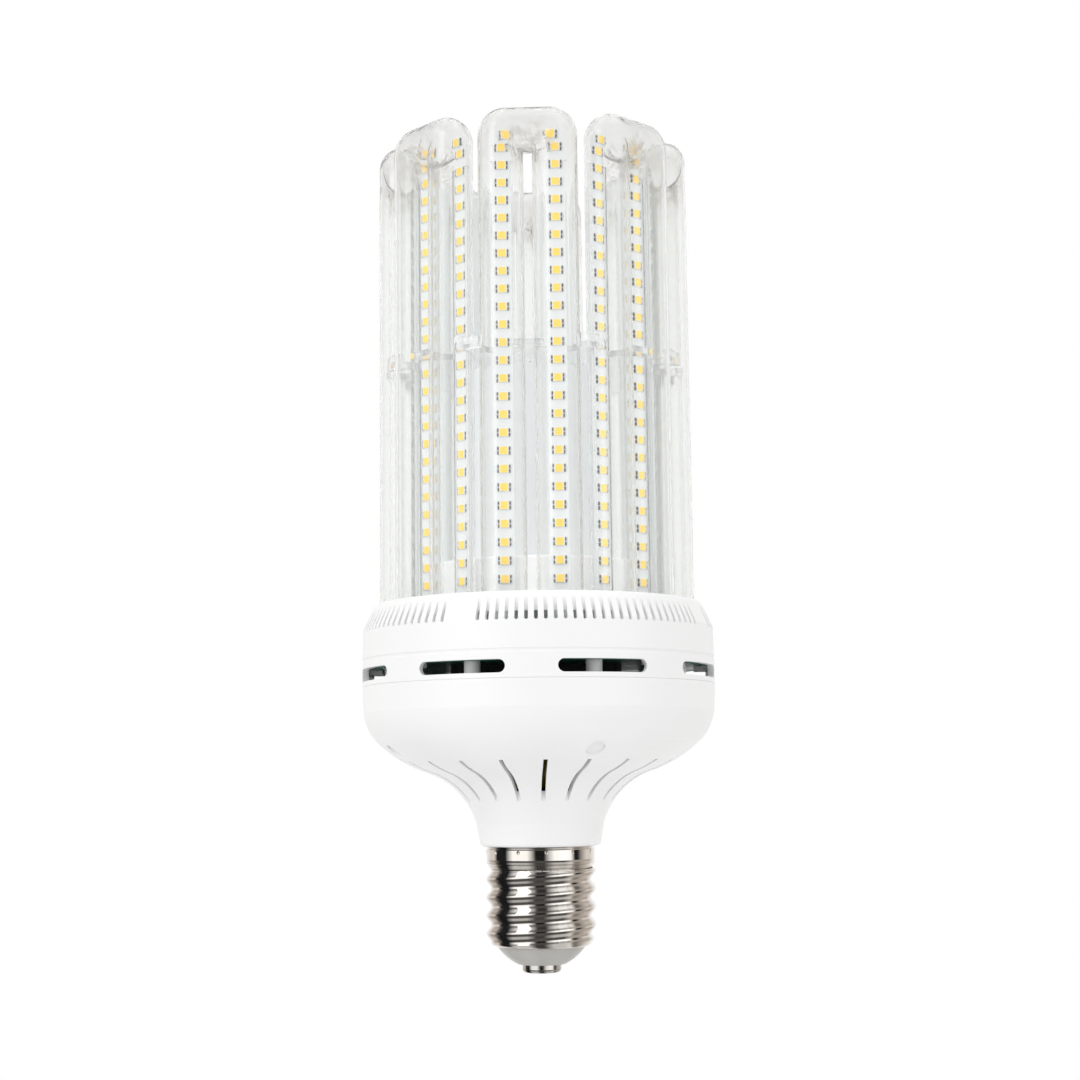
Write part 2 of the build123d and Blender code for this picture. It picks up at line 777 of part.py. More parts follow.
# Driver board: a round board on four bosses of the bowl
board_screw_hole_r = 1.6
with BuildPart() as driver_board:
    with BuildSketch(Plane.XY.offset(driver_board_bottom)):
        Circle(driver_board_r)
        with PolarLocations(driver_hole_ring_r, 4, start_angle=driver_hole_angles[0]):
            Circle(board_screw_hole_r, mode=Mode.SUBTRACT)
    extrude(amount=board_thickness)
driver_board.part.label = "driver_board"
export_step(driver_board.part, "parts/driver_board.step")

# Board screws: hold the driver board to its bosses
board_head_r = 2.6
board_head_height = 1.8
with BuildPart() as board_screws:
    with BuildSketch(Plane.XY.offset(driver_board_top)):
        with PolarLocations(driver_hole_ring_r, 4, start_angle=driver_hole_angles[0]):
            Circle(board_head_r)
    extrude(amount=board_head_height)
    with BuildSketch(Plane.XY.offset(driver_board_top)):
        with PolarLocations(driver_hole_ring_r, 4, start_angle=driver_hole_angles[0]):
            Circle(screw_r)
    extrude(amount=-board_thickness - 4)
board_screws.part.label = "board_screws"
export_step(board_screws.part, "parts/board_screws.step")

# Transformer core: a closed frame with a middle leg, hung under the driver board
core_width = 25.0
core_height = 19.0
core_depth = 9.0
core_leg = 7.5
window_width = 5.25
window_height = 12.5
core_z = driver_board_bottom - core_height / 2
window_x = core_leg / 2 + window_width / 2
with BuildPart() as transformer_core:
    with BuildSketch(Plane.XZ.offset(-core_depth / 2)):
        with Locations((0, core_z)):
            Rectangle(core_width, core_height)
        with Locations((-window_x, core_z), (window_x, core_z)):
            Rectangle(window_width, window_height, mode=Mode.SUBTRACT)
    extrude(amount=core_depth)
transformer_core.part.label = "transformer_core"
export_step(transformer_core.part, "parts/transformer_core.step")

# Transformer coil: wound round the middle leg, with rounded corners
coil_width = 17.6
coil_depth = 17.0
coil_height = 12.2
coil_gap = 0.1
with BuildPart() as transformer_coil:
    with BuildSketch(Plane.XY.offset(core_z - coil_height / 2)):
        RectangleRounded(coil_width, coil_depth, 2)
        Rectangle(core_leg + coil_gap, core_depth + coil_gap, mode=Mode.SUBTRACT)
    extrude(amount=coil_height)
transformer_coil.part.label = "transformer_coil"
export_step(transformer_coil.part, "parts/transformer_coil.step")

# Main capacitors: two cans that lie against the driver board
can_r = 6.25
can_length = 25.0
can_x = 22.0
can_bead = 0.5
with BuildPart() as main_capacitors:
    with BuildSketch(Plane.XZ.offset(-can_length / 2)):
        with Locations((-can_x, driver_board_bottom - can_r), (can_x, driver_board_bottom - can_r)):
            Circle(can_r)
    extrude(amount=can_length)
    chamfer(main_capacitors.edges().filter_by(GeomType.CIRCLE), can_bead)
main_capacitors.part.label = "main_capacitors"
export_step(main_capacitors.part, "parts/main_capacitors.step")

# Line choke: a wound ring that lies flat under the board
choke_r = 6.0
choke_wire_r = 3.0
choke_y = 25.0
with BuildPart() as line_choke:
    with Locations((0, choke_y, driver_board_bottom - choke_wire_r)):
        Torus(choke_r, choke_wire_r)
line_choke.part.label = "line_choke"
export_step(line_choke.part, "parts/line_choke.step")

# Film capacitor: a moulded block at the mains side
film_size = (16.0, 8.0, 12.0)
film_y = -23.0
with BuildPart() as film_capacitor:
    with BuildSketch(Plane.XY.offset(driver_board_bottom)):
        with Locations((0, film_y)):
            RectangleRounded(film_size[0], film_size[1], 0.8)
    extrude(amount=-film_size[2])
film_capacitor.part.label = "film_capacitor"
export_step(film_capacitor.part, "parts/film_capacitor.step")

# Heat sink: a finned extrusion that stands on the board beside the fan
sink_width = 26.0
sink_y = 34.0
sink_back = 2.0
fin_count = 6
fin_reach = 6.0
fin_thickness = 1.2
sink_height = 20.0
with BuildPart() as heat_sink:
    with BuildSketch(Plane.XY.offset(driver_board_top)):
        with Locations((0, sink_y)):
            Rectangle(sink_width, sink_back)
        with Locations((0, sink_y + sink_back / 2 + fin_reach / 2)):
            with GridLocations((sink_width - fin_thickness) / (fin_count - 1), 0, fin_count, 1):
                Rectangle(fin_thickness, fin_reach)
    extrude(amount=sink_height)
heat_sink.part.label = "heat_sink"
export_step(heat_sink.part, "parts/heat_sink.step")

# Leads inside the lamp: straight runs joined by tangent arcs
lead_r = 0.8


def lead(points, radii):
    """A round lead along these points, with its corners rounded."""
    with BuildPart() as run:
        with BuildLine() as route:
            FilletPolyline(*points, radius=radii)
        with BuildSketch(Plane(origin=route.line @ 0, z_dir=route.line % 0)):
            Circle(lead_r)
        sweep()
    return run.part


live_run = lead([(0, 0, rivet_top), (0, 0, 24), (6, -9, 40), (12, -17, 58), (12, -17, driver_board_bottom)], 9)
with BuildPart() as live_lead:
    add(live_run)
live_lead.part.label = "live_lead"
export_step(live_lead.part, "parts/live_lead.step")

neutral_run = lead([(-17.2, 0, 29.5), (-9, 0, 29.5), (-8, 4, 44), (-12, 17, 60), (-12, 17, driver_board_bottom)], 4)
with BuildPart() as neutral_lead:
    add(neutral_run)
neutral_lead.part.label = "neutral_lead"
export_step(neutral_lead.part, "parts/neutral_lead.step")

# Output leads: a pair from the driver board to the ring board, bowed away from the fan
pair = (-1.2, 1.2)
output_runs = [
    lead([(37, y, driver_board_top), (37, y, 90), (39.5, y, 98), (39.5, y, ring_board_bottom)], 12) for y in pair
]
with BuildPart() as output_leads:
    for run in output_runs:
        add(run)
output_leads.part.label = "output_leads"
export_step(output_leads.part, "parts/output_leads.step")

# Fan lead: a pair from the driver board to the underside of the fan frame
fan_runs = [
    lead([(-20, y, driver_board_top), (-20, y, 84.6), (-28.9, y, 84.6), (-28.9, y, fan_bottom)], 1.6) for y in pair
]
with BuildPart() as fan_lead:
    for run in fan_runs:
        add(run)
fan_lead.part.label = "fan_lead"
export_step(fan_lead.part, "parts/fan_lead.step")
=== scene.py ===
"""The LED grow lamp from the CAD frame, on a plain pale floor in soft studio light."""

import json
from math import cos, pi, radians, sin

import bmesh
import bpy
from mathutils import Matrix, Vector


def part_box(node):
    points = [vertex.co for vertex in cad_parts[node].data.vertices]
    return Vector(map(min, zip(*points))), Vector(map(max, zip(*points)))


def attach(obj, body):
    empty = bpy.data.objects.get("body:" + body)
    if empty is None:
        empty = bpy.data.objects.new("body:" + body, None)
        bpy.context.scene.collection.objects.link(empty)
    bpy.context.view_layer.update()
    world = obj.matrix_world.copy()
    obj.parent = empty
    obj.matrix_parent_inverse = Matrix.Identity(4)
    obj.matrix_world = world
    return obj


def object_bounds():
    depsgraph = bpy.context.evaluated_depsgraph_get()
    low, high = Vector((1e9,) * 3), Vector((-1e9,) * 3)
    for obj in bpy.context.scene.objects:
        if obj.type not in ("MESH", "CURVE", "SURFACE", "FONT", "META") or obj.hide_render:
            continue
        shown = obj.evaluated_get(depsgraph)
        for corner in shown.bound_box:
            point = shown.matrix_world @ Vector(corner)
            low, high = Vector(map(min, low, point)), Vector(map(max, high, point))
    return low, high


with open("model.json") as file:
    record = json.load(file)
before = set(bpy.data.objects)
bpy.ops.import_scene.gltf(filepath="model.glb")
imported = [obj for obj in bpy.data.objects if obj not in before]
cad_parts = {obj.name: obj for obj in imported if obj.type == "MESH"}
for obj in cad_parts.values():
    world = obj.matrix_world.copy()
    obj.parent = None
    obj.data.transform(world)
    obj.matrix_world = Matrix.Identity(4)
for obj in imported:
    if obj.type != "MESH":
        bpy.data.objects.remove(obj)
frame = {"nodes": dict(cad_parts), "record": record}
cad_low, cad_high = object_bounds()
nodes = frame["nodes"]

MM = 0.001
WHITE = (1.0, 1.0, 1.0)
# Where most values of a noise lie
NOISE_LOW = 0.3
NOISE_HIGH = 0.7

# The tubes stand in a ring, the first at -Y. Their bends lie between two heights, and the inside of each bend
# is creased round the pinch, fully up to the near distance and not at all beyond the far one.
TUBE_COUNT = 8
TUBE_TURN = 360 / TUBE_COUNT
RING_RADIUS = 0.0486
BEND_START = 0.268
BEND_END = 0.288
PINCH_Z = 0.2875
PINCH_NEAR = 0.003
PINCH_FAR = 0.0095

# The thread: its pitch, a height at which its crest faces -X, how much flatter its flanks look, and the
# heights between which that ends
THREAD_PITCH = 0.00635
CREST_Z = 0.0327
FLATTER = 0.00045
THREAD_END = (0.0360, 0.0368)

# Where the shell's band seems to widen upwards, at its foot and at its head, and by how much
BAND_FOOT = (0.0378, 0.0400)
BAND_FOOT_STEP = 0.0006
BAND_HEAD = (0.0434, 0.0446)
BAND_HEAD_STEP = 0.0004


# Node trees

class Tree:
    """A node tree, and short ways to add nodes to it."""

    def __init__(self, node_tree):
        self.nodes = node_tree.nodes
        self.links = node_tree.links

    def maths(self, operation, *values):
        """A sum done on numbers and sockets."""
        node = self.nodes.new("ShaderNodeMath")
        node.operation = operation
        for place, value in enumerate(values):
            if isinstance(value, float):
                node.inputs[place].default_value = value
            else:
                self.links.new(value, node.inputs[place])
        return node.outputs["Value"]

    def add(self, first, second):
        return self.maths("ADD", first, second)

    def times(self, first, second):
        return self.maths("MULTIPLY", first, second)

    def length(self, first, second):
        """The length of the line with these two parts at right angles."""
        return self.maths("SQRT", self.add(self.times(first, first), self.times(second, second)))

    def either(self, first, second):
        """1 where one of the two is 1."""
        return self.maths("MAXIMUM", first, second)

    def split(self, vector):
        """The three parts of a vector."""
        node = self.nodes.new("ShaderNodeSeparateXYZ")
        self.links.new(vector, node.inputs["Vector"])
        return node.outputs

    def mix(self, factor, first, second):
        """A colour mixed from two colours by a factor. The node's colours are inputs 6 and 7 and output 2."""
        node = self.nodes.new("ShaderNodeMix")
        node.data_type = "RGBA"
        self.links.new(factor, node.inputs[0])
        for place, colour in ((6, first), (7, second)):
            if isinstance(colour, tuple):
                node.inputs[place].default_value = (*colour, 1)
            else:
                self.links.new(colour, node.inputs[place])
        return node.outputs[2]

    def colours(self, factor, stops):
        """A colour from a list of places and colours."""
        node = self.nodes.new("ShaderNodeValToRGB")
        elements = node.color_ramp.elements
        while len(elements) < len(stops):
            elements.new(0.5)
        for element, (position, colour) in zip(elements, stops):
            element.position = position
            element.color = (*colour, 1)
        self.links.new(factor, node.inputs["Fac"])
        return node.outputs["Color"]

    def greys(self, factor, stops):
        """A grey from a list of places and levels."""
        return self.colours(factor, [(position, (level, level, level)) for position, level in stops])


class Material(Tree):
    """A material with a Principled shader. Its textures lie in the object's own coordinates."""

    def __init__(self, name):
        self.material = bpy.data.materials.new(name)
        self.material.use_nodes = True
        super().__init__(self.material.node_tree)
        self.shader = self.nodes["Principled BSDF"]
        self.coordinates = self.nodes.new("ShaderNodeTexCoord").outputs["Object"]

    def set(self, **values):
        """Sets the shader's own sockets. An underscore in a name stands for a space."""
        for name, value in values.items():
            self.shader.inputs[name.replace("_", " ")].default_value = value

    def link(self, source, socket):
        self.links.new(source, self.shader.inputs[socket])

    def noise(self, size, detail=3.0, roughness=0.5, stretch=(1, 1, 1)):
        """A noise from 0 to 1 whose features are about this size, in metres."""
        mapping = self.nodes.new("ShaderNodeMapping")
        mapping.inputs["Scale"].default_value = stretch
        self.links.new(self.coordinates, mapping.inputs["Vector"])
        texture = self.nodes.new("ShaderNodeTexNoise")
        texture.inputs["Scale"].default_value = 1 / size
        texture.inputs["Detail"].default_value = detail
        texture.inputs["Roughness"].default_value = roughness
        self.links.new(mapping.outputs["Vector"], texture.inputs["Vector"])
        return texture.outputs["Fac"]

    def ramp(self, source, low, high, first, second):
        """The value from first to second as the source goes from low to high."""
        node = self.nodes.new("ShaderNodeMapRange")
        node.inputs["From Min"].default_value = low
        node.inputs["From Max"].default_value = high
        node.inputs["To Min"].default_value = first
        node.inputs["To Max"].default_value = second
        self.links.new(source, node.inputs["Value"])
        return node.outputs["Result"]

    def smooth_ramp(self, source, low, high, first, second):
        result = self.ramp(source, low, high, first, second)
        result.node.interpolation_type = "SMOOTHSTEP"
        return result

    def vary(self, size, first, second, stretch=(1, 1, 1)):
        """A value that wanders between two over features of this size."""
        return self.ramp(self.noise(size, stretch=stretch), NOISE_LOW, NOISE_HIGH, first, second)

    def bump(self, height, depth, strength=1.0):
        """Bump from a height, depth metres deep."""
        node = self.nodes.new("ShaderNodeBump")
        node.inputs["Strength"].default_value = strength
        node.inputs["Distance"].default_value = depth
        self.links.new(height, node.inputs["Height"])
        self.links.new(node.outputs["Normal"], self.shader.inputs["Normal"])


# Materials

def moulded(name, light, dark, roughness=(0.34, 0.46), grain=0.0004, glow=0.0):
    """Moulded plastic: faint tone and gloss changes, a fine surface grain and, where given, a faint glow."""
    tree = Material(name)
    tree.set(Emission_Color=(*WHITE, 1), Emission_Strength=glow)
    tree.link(tree.mix(tree.noise(0.03), light, dark), "Base Color")
    tree.link(tree.vary(0.012, *roughness), "Roughness")
    tree.bump(tree.noise(grain, 2.0), depth=0.02 * MM, strength=0.5)
    return tree.material


def metal(name, light, dark, roughness=(0.1, 0.22), grain=0.003, stretch=(1, 1, 1)):
    """Metal whose tone and gloss change a little over the surface."""
    tree = Material(name)
    tree.set(Metallic=1.0)
    tree.link(tree.mix(tree.noise(0.006, stretch=stretch), light, dark), "Base Color")
    tree.link(tree.vary(grain, *roughness, stretch=stretch), "Roughness")
    tree.bump(tree.noise(grain, 2.0, stretch=stretch), depth=0.02 * MM, strength=0.4)
    return tree.material


def shell_material():
    """Bright nickel. In the bump the shell's band widens a little upwards at its foot and its head, and the
    thread's flanks look a little flatter than they are."""
    tree = Material("nickel shell")
    tree.set(Metallic=1.0)
    tree.link(tree.mix(tree.noise(0.006), (0.84, 0.80, 0.75), (0.76, 0.72, 0.67)), "Base Color")
    tree.link(tree.vary(0.003, 0.05, 0.11), "Roughness")
    x, y, z = tree.split(tree.coordinates)
    foot = tree.smooth_ramp(z, *BAND_FOOT, 0.0, BAND_FOOT_STEP)
    head = tree.smooth_ramp(z, *BAND_HEAD, 0.0, BAND_HEAD_STEP)
    # The root's direction turns once a pitch. The bump is highest there and lowest on the crest.
    root = tree.times(tree.maths("SUBTRACT", z, CREST_Z), 2 * pi / THREAD_PITCH)
    wave = tree.maths("COSINE", tree.maths("SUBTRACT", tree.maths("ARCTAN2", y, x), root))
    flatter = tree.times(wave, tree.ramp(z, *THREAD_END, FLATTER, 0.0))
    grain = tree.times(tree.noise(0.003, 2.0), 0.01 * MM)
    tree.bump(tree.add(tree.add(tree.add(foot, head), flatter), grain), depth=1.0)
    return tree.material


def let_light_in(tree, tint):
    """Light from the lamps passes straight through the clear plastic, nearly as through a thin wall."""
    path = tree.nodes.new("ShaderNodeLightPath")
    passes = tree.either(path.outputs["Is Shadow Ray"], path.outputs["Is Diffuse Ray"])
    window = tree.nodes.new("ShaderNodeBsdfTransparent")
    window.inputs["Color"].default_value = (*tint, 1)
    choose = tree.nodes.new("ShaderNodeMixShader")
    tree.links.new(passes, choose.inputs[0])
    tree.links.new(tree.shader.outputs["BSDF"], choose.inputs[1])
    tree.links.new(window.outputs["BSDF"], choose.inputs[2])
    tree.links.new(choose.outputs["Shader"], tree.nodes["Material Output"].inputs["Surface"])


def pinch_mask(tree):
    """1 at the inside of each tube's bend, where it was pinched, falling to 0 a few millimetres away."""
    x, y, z = tree.split(tree.coordinates)
    step = 2 * pi / TUBE_COUNT
    angle = tree.maths("ARCTAN2", y, x)
    # The angle from the middle plane of the nearest tube. A tube stands at every multiple of the step.
    aside = tree.maths("FLOORED_MODULO", tree.add(angle, step / 2), step)
    aside = tree.maths("SUBTRACT", aside, step / 2)
    across = tree.times(aside, RING_RADIUS)
    up = tree.maths("SUBTRACT", z, PINCH_Z)
    return tree.ramp(tree.length(across, up), PINCH_NEAR, PINCH_FAR, 1.0, 0.0)


def clear_tube_material():
    """Clear extruded plastic with draw lines, milky at a slant and creased where its bend was pinched."""
    tree = Material("clear tube")
    tree.set(IOR=1.42)
    edge = tree.nodes.new("ShaderNodeLayerWeight")
    edge.inputs["Blend"].default_value = 0.5
    tree.link(tree.ramp(edge.outputs["Facing"], 0.62, 0.97, 0.95, 0.60), "Transmission Weight")
    folds = tree.ramp(tree.noise(0.0032, roughness=0.6), 0.45, 0.62, 0.0, 1.0)
    creases = tree.times(folds, pinch_mask(tree))
    bend = tree.ramp(tree.split(tree.coordinates)["Z"], BEND_START, BEND_END, 0.0, 1.0)
    plain = tree.mix(bend, (0.972, 0.978, 0.972), (0.915, 0.915, 0.905))
    tree.link(tree.mix(creases, plain, (0.72, 0.69, 0.65)), "Base Color")
    draw_lines = tree.noise(0.004, stretch=(1, 1, 0.05))
    tree.link(tree.ramp(draw_lines, 0.35, 0.65, 0.05, 0.11), "Roughness")
    dents = tree.times(tree.noise(0.012, 2.0), bend)
    tree.bump(tree.add(tree.times(creases, 0.35), dents), depth=1.6 * MM, strength=0.35)
    let_light_in(tree, WHITE)
    return tree.material


def clear_disc_material():
    """Clear plastic sheet, a little hazy."""
    tree = Material("clear disc")
    tree.set(Base_Color=(0.97, 0.975, 0.975, 1), IOR=1.40, Transmission_Weight=0.85)
    tree.link(tree.vary(0.01, 0.05, 0.16), "Roughness")
    let_light_in(tree, (0.98, 0.98, 0.98))
    return tree.material


def phosphor_material():
    """Phosphor in the window of an LED package, a little uneven in colour, with a faint glow."""
    tree = Material("phosphor")
    tree.link(tree.mix(tree.noise(0.0012, 2.0), (1.0, 0.61, 0.045), (1.0, 0.69, 0.085)), "Base Color")
    tree.link(tree.vary(0.001, 0.25, 0.4), "Roughness")
    tree.set(Emission_Color=(1.0, 0.66, 0.07, 1), Emission_Strength=0.2)
    return tree.material


# By material slot. The last one is the collar's, whose faint glow stands for light that the tubes pass on.
MATERIALS = {
    "white_housing": moulded("white housing", (0.94, 0.94, 0.935), (0.92, 0.925, 0.925)),
    "white_plug": moulded("white plug", (0.90, 0.90, 0.90), (0.87, 0.875, 0.88)),
    "nickel": shell_material(),
    "tip_metal": metal("tip contact", (0.72, 0.70, 0.67), (0.60, 0.58, 0.55), (0.08, 0.16)),
    "insulator": moulded("insulator", (0.52, 0.505, 0.475), (0.42, 0.41, 0.385), (0.25, 0.4), grain=0.001),
    "clear_tube": clear_tube_material(),
    "clear_disc": clear_disc_material(),
    "duct_plastic": moulded("duct", (0.905, 0.92, 0.92), (0.885, 0.90, 0.905), (0.35, 0.5)),
    "strip_white": moulded("strip", (0.89, 0.915, 0.915), (0.87, 0.90, 0.905), (0.3, 0.4)),
    "led_phosphor": moulded("led package", (0.90, 0.90, 0.86), (0.86, 0.86, 0.82), (0.4, 0.5)),
    "board_green": moulded("board", (0.06, 0.25, 0.17), (0.045, 0.19, 0.13), (0.25, 0.35)),
    "fan_black": moulded("fan plastic", (0.018, 0.018, 0.018), (0.03, 0.03, 0.03), (0.4, 0.55)),
    "lead_sheath": moulded("lead sheath", (0.45, 0.03, 0.025), (0.38, 0.025, 0.02), (0.35, 0.5)),
    "screw_steel": metal("screws", (0.62, 0.62, 0.62), (0.52, 0.52, 0.52), (0.25, 0.4)),
    "ferrite": moulded("ferrite", (0.03, 0.03, 0.033), (0.045, 0.045, 0.05), (0.5, 0.7), grain=0.001),
    "winding_tape": moulded("coil tape", (0.66, 0.46, 0.05), (0.58, 0.40, 0.04), (0.3, 0.45)),
    "can_sleeve": moulded("can sleeve", (0.02, 0.025, 0.06), (0.015, 0.02, 0.045), (0.2, 0.3)),
    "copper_wire": metal("copper wire", (0.55, 0.22, 0.10), (0.45, 0.17, 0.07), (0.2, 0.35)),
    "film_case": moulded("film case", (0.45, 0.28, 0.04), (0.38, 0.23, 0.03), (0.3, 0.4)),
    "sink_metal": metal(
        "heat sink", (0.75, 0.76, 0.77), (0.66, 0.67, 0.68), (0.3, 0.45), stretch=(1, 1, 0.05)),
    "bearing_metal": metal("bearing", (0.60, 0.44, 0.22), (0.50, 0.36, 0.18), (0.3, 0.45)),
    "stator_steel": metal("stator", (0.40, 0.40, 0.40), (0.32, 0.32, 0.32), (0.35, 0.5), stretch=(1, 1, 8)),
    "magnet_rubber": moulded("magnet", (0.04, 0.033, 0.028), (0.03, 0.025, 0.02), (0.5, 0.65)),
    "shaft_steel": metal("shaft", (0.70, 0.70, 0.70), (0.62, 0.62, 0.62), (0.1, 0.2), stretch=(1, 1, 4)),
    "collar": moulded("hub", (0.98, 0.98, 0.975), (0.965, 0.965, 0.96), glow=0.05),
}

SHARP_ANGLE = radians(32)
slots = {row["node"]: row["material_slot"] for row in frame["record"]["subparts"]}
slots["hub_ring"] = "collar"
for name, node in nodes.items():
    node.data.materials.clear()
    node.data.materials.append(MATERIALS[slots[name]])
    node.data.shade_smooth()
    node.data.set_sharp_from_angle(angle=SHARP_ANGLE)


# Pieces made here

def turned(tube):
    """The turn from the first tube to this one."""
    return Matrix.Rotation(radians(TUBE_TURN * (tube - 1)), 4, "Z")


def make_object(name, mesh_data, material):
    """An object from a bmesh, in the scene."""
    mesh = bpy.data.meshes.new(name)
    mesh_data.to_mesh(mesh)
    mesh_data.free()
    mesh.materials.append(material)
    made = bpy.data.objects.new(name, mesh)
    bpy.context.scene.collection.objects.link(made)
    return made


def led_centres():
    """Where the middle of each LED of the first tube's front face is, from its node."""
    mesh = bmesh.new()
    mesh.from_mesh(nodes["leds_1"].data)
    bmesh.ops.remove_doubles(mesh, verts=mesh.verts, dist=0.01 * MM)
    centres = []
    seen = set()
    for vertex in mesh.verts:
        if vertex in seen:
            continue
        group = []
        queue = [vertex]
        seen.add(vertex)
        while queue:
            current = queue.pop()
            group.append(current.co)
            for edge in current.link_edges:
                other = edge.other_vert(current)
                if other not in seen:
                    seen.add(other)
                    queue.append(other)
        low = [min(point[axis] for point in group) for axis in range(3)]
        high = [max(point[axis] for point in group) for axis in range(3)]
        centres.append(Vector(((low[0] + high[0]) / 2, low[1], (low[2] + high[2]) / 2)))
    mesh.free()
    return sorted(centres, key=lambda point: (round(point.x, 4), point.z))


def add_slab(mesh, centre, width, height, depth, corner=0.0):
    """A flat slab whose back lies on the plane through centre, with its front towards -Y."""
    half_x = width / 2
    half_z = height / 2
    outline = [
        (-half_x + corner, -half_z), (half_x - corner, -half_z),
        (half_x, -half_z + corner), (half_x, half_z - corner),
        (half_x - corner, half_z), (-half_x + corner, half_z),
        (-half_x, half_z - corner), (-half_x, -half_z + corner),
    ]
    if not corner:
        outline = [(-half_x, -half_z), (half_x, -half_z), (half_x, half_z), (-half_x, half_z)]
    back = [mesh.verts.new((centre.x + x, centre.y, centre.z + z)) for x, z in outline]
    front = [mesh.verts.new((centre.x + x, centre.y - depth, centre.z + z)) for x, z in outline]
    count = len(outline)
    mesh.faces.new(front)
    mesh.faces.new(list(reversed(back)))
    for place in range(count):
        after = (place + 1) % count
        mesh.faces.new((back[place], back[after], front[after], front[place]))


# Width, height and depth of the phosphor window and of a dark slab of painted shadow at a soldered joint, and
# where the slabs are from the centre
WINDOW = (2.65 * MM, 2.65 * MM, 0.08 * MM)
WINDOW_CORNER = 0.35 * MM
SOLDER_SHADOW = (0.55 * MM, 1.15 * MM, 0.45 * MM)
SOLDER_SHADOW_OFFSET = 2.05 * MM
SOLDER_SHADOW_RISE = 0.8 * MM
centres = led_centres()
phosphor = phosphor_material()
# The dark slabs beside each LED are painted shadow. Their near-black colour stands for the shade round the
# soldered joints, not for the metal.
solder_shadow = moulded("solder_shadow", (0.035, 0.03, 0.027), (0.012, 0.011, 0.010), (0.35, 0.5))
strip_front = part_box("led_strips_1")[0].y
for tube in range(1, TUBE_COUNT + 1):
    windows = bmesh.new()
    solder_shadows = bmesh.new()
    for centre in centres:
        add_slab(windows, centre, *WINDOW, WINDOW_CORNER)
        for side, end in ((-1, -1), (-1, 1), (1, -1), (1, 1)):
            foot = Vector((centre.x + side * SOLDER_SHADOW_OFFSET, strip_front, centre.z + end * SOLDER_SHADOW_RISE))
            add_slab(solder_shadows, foot, *SOLDER_SHADOW)
    windows.transform(turned(tube))
    solder_shadows.transform(turned(tube))
    for name, mesh_data, material, slot in (
        (f"phosphor_{tube}", windows, phosphor, "led_phosphor"),
        (f"solder_{tube}", solder_shadows, solder_shadow, "strip_white"),
    ):
        piece = make_object(name, mesh_data, material)
        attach(piece, "lamp")


# Floor

FLOOR_Z = -0.30
FLOOR_HALF = 0.6
FLOOR_COLOUR = (0.9, 0.9, 0.9)
FLOOR_ROUGHNESS = 0.9
FLOOR_GLOW = 0.25


def floor_material():
    """A pale floor that shows pure white where no shadow falls on it."""
    tree = Material("floor")
    tree.set(Base_Color=(*FLOOR_COLOUR, 1), Roughness=FLOOR_ROUGHNESS, Emission_Color=(*WHITE, 1))
    path = tree.nodes.new("ShaderNodeLightPath")
    seen = tree.either(path.outputs["Is Camera Ray"], path.outputs["Is Transmission Ray"])
    tree.link(tree.times(seen, FLOOR_GLOW), "Emission Strength")
    return tree.material


floor_mesh = bmesh.new()
corners = []
for side, end in ((-1, -1), (1, -1), (1, 1), (-1, 1)):
    corners.append(floor_mesh.verts.new((side * FLOOR_HALF, end * FLOOR_HALF, FLOOR_Z)))
floor_mesh.faces.new(corners)
floor = make_object("floor", floor_mesh, floor_material())
floor.visible_glossy = False


# Light

# What the metal mirrors: the darkness between the lamps, soft boxes, and walls and cards of the room
DARK = (0.012, 0.012, 0.014)
SOFT_BOX = (1.25, 1.25, 1.25)
WALL = (0.80, 0.745, 0.70)
DIM_WALL = (0.32, 0.30, 0.28)
CARD = (0.46, 0.42, 0.385)
DIM_CARD = (0.10, 0.094, 0.09)
SHADOW = (0.03, 0.028, 0.028)

# Round the lamp, from 0 at its left through 0.5 in front to 1 at its right
UPRIGHT_METAL_MIRRORS = [
    (0.18, WALL), (0.21, DARK), (0.285, DARK), (0.335, SOFT_BOX), (0.425, SOFT_BOX), (0.475, DARK),
    (0.525, DARK), (0.585, SOFT_BOX), (0.69, SOFT_BOX), (0.72, DARK), (0.745, DARK), (0.77, DIM_WALL),
    (0.82, WALL),
]
LEANING_METAL_MIRRORS = [
    (0.16, CARD), (0.235, DARK), (0.34, DARK), (0.37, SHADOW), (0.44, SHADOW), (0.475, DIM_CARD),
    (0.52, DIM_CARD), (0.56, SHADOW), (0.65, SHADOW), (0.70, CARD), (0.85, CARD),
]
# How far metal counts as upright, by its lean: 0 where it faces down, 0.5 upright, 1 where it faces up
UPRIGHT_SHARE = [
    (0.30, 0.50), (0.374, 0.45), (0.390, 0.05), (0.455, 0.05), (0.482, 1), (0.525, 1), (0.55, 0.15),
    (0.58, 0.20), (0.605, 0.75), (0.70, 0.80),
]
# The far wall, from 0 in front of the lamp to 1 straight behind it
FAR_WALL = [(0.82, 0), (0.96, 1)]
# The light on the lamp, from 0 straight below it to 1 straight above
SOFT_LIGHT = [(0.15, (0.50, 0.50, 0.505)), (0.52, (0.98, 0.98, 0.98))]


def mirrored_room(tree, x, y, z):
    """What metal mirrors in this direction, laid out by the way it faces when seen from the front."""
    behind = tree.maths("SUBTRACT", 1.0, y)
    round_lamp = tree.maths("MULTIPLY_ADD", tree.maths("ARCTAN2", x, behind), 1 / pi, 0.5)
    lean = tree.maths("MULTIPLY_ADD", tree.maths("ARCTAN2", z, tree.length(x, behind)), 1 / pi, 0.5)
    upright = tree.colours(round_lamp, UPRIGHT_METAL_MIRRORS)
    leaning = tree.colours(round_lamp, LEANING_METAL_MIRRORS)
    near = tree.mix(tree.greys(lean, UPRIGHT_SHARE), leaning, upright)
    far = tree.greys(tree.maths("SUBTRACT", 1.0, tree.times(behind, 0.5)), FAR_WALL)
    return tree.mix(far, near, WHITE)


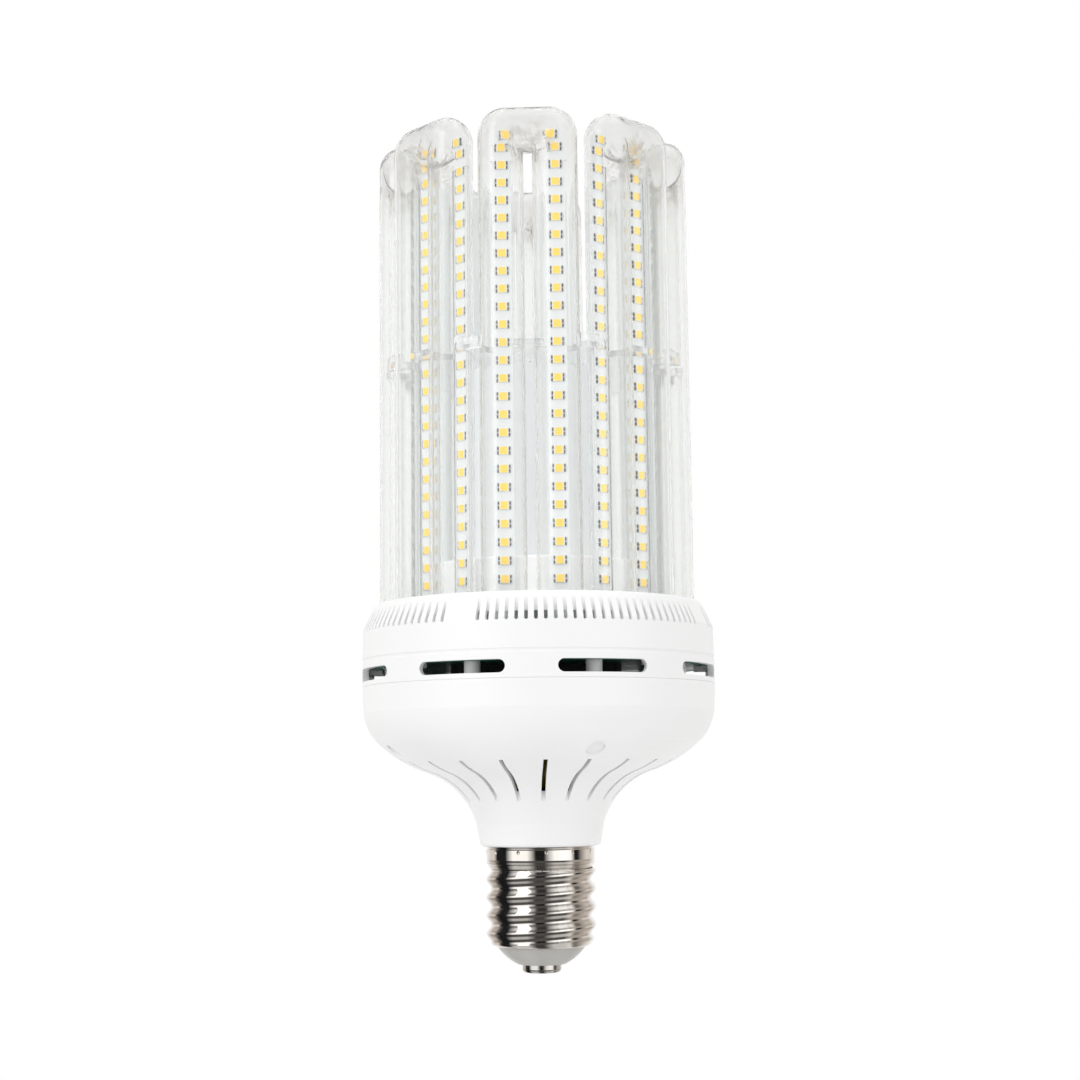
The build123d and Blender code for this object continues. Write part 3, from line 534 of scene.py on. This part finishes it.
def studio_world():
    """White behind the lamp, an even soft light on it, and a room with soft boxes for metal to mirror."""
    world = bpy.data.worlds.new("studio")
    bpy.context.scene.world = world
    world.use_nodes = True
    tree = Tree(world.node_tree)
    path = tree.nodes.new("ShaderNodeLightPath")
    x, y, z = tree.split(tree.nodes.new("ShaderNodeTexCoord").outputs["Generated"])
    soft_light = tree.colours(tree.maths("MULTIPLY_ADD", z, 0.5, 0.5), SOFT_LIGHT)
    lit = tree.mix(path.outputs["Is Glossy Ray"], soft_light, mirrored_room(tree, x, y, z))
    seen = tree.either(path.outputs["Is Camera Ray"], path.outputs["Is Transmission Ray"])
    tree.links.new(tree.mix(seen, lit, WHITE), tree.nodes["Background"].inputs["Color"])


def area_light(name, place, target, size, power):
    """A soft box at place, turned to the target."""
    data = bpy.data.lights.new(name, "AREA")
    data.shape = "RECTANGLE"
    data.size, data.size_y = size
    data.energy = power
    light = bpy.data.objects.new(name, data)
    light.location = place
    light.rotation_mode = "QUATERNION"
    light.rotation_quaternion = (Vector(place) - Vector(target)).to_track_quat("Z", "Y")
    bpy.context.scene.collection.objects.link(light)


studio_world()
lamp_middle = (cad_low + cad_high) / 2
area_light("key", place=(-0.9, -1.0, 0.75), target=lamp_middle, size=(0.7, 1.1), power=3.6)
area_light("fill", place=(1.0, -0.8, 0.35), target=lamp_middle, size=(0.5, 1.1), power=0.35)
area_light("top", place=(0.1, -0.1, 1.3), target=lamp_middle, size=(0.9, 0.9), power=1.5)


# Camera

# The photograph's camera: a little right of the front, looking up at the lamp, which leans to the left
LENS = 63.23
CAMERA_AZIMUTH = radians(2.0)
CAMERA_PITCH = radians(7.2)
CAMERA_ROLL = radians(0.68)
CAMERA_DISTANCE = 0.690
CAMERA_HEIGHT = 0.06805
CAMERA_ASIDE = 0.0011
CLIP_START = 0.01
right = Vector((cos(CAMERA_AZIMUTH), sin(CAMERA_AZIMUTH), 0))
level = Vector((-sin(CAMERA_AZIMUTH), cos(CAMERA_AZIMUTH), 0))
forward = level * cos(CAMERA_PITCH) + Vector((0, 0, sin(CAMERA_PITCH)))
upward = right.cross(forward)
rolled_up = upward * cos(CAMERA_ROLL) + right * sin(CAMERA_ROLL)
rolled_right = right * cos(CAMERA_ROLL) - upward * sin(CAMERA_ROLL)
camera_data = bpy.data.cameras.new("camera")
camera_data.lens = LENS
camera_data.clip_start = CLIP_START
camera = bpy.data.objects.new("camera", camera_data)
camera.location = -level * CAMERA_DISTANCE + right * CAMERA_ASIDE + Vector((0, 0, CAMERA_HEIGHT))
camera.rotation_mode = "QUATERNION"
camera.rotation_quaternion = Matrix((rolled_right, rolled_up, -forward)).transposed().to_quaternion()
bpy.context.scene.collection.objects.link(camera)
bpy.context.scene.camera = camera
bpy.context.scene.view_settings.view_transform = "Standard"
# Light reaches the duct and the far tubes through many clear walls, one behind the other.
WALLS_TO_PASS = 32
bpy.context.scene.cycles.transparent_max_bounces = WALLS_TO_PASS
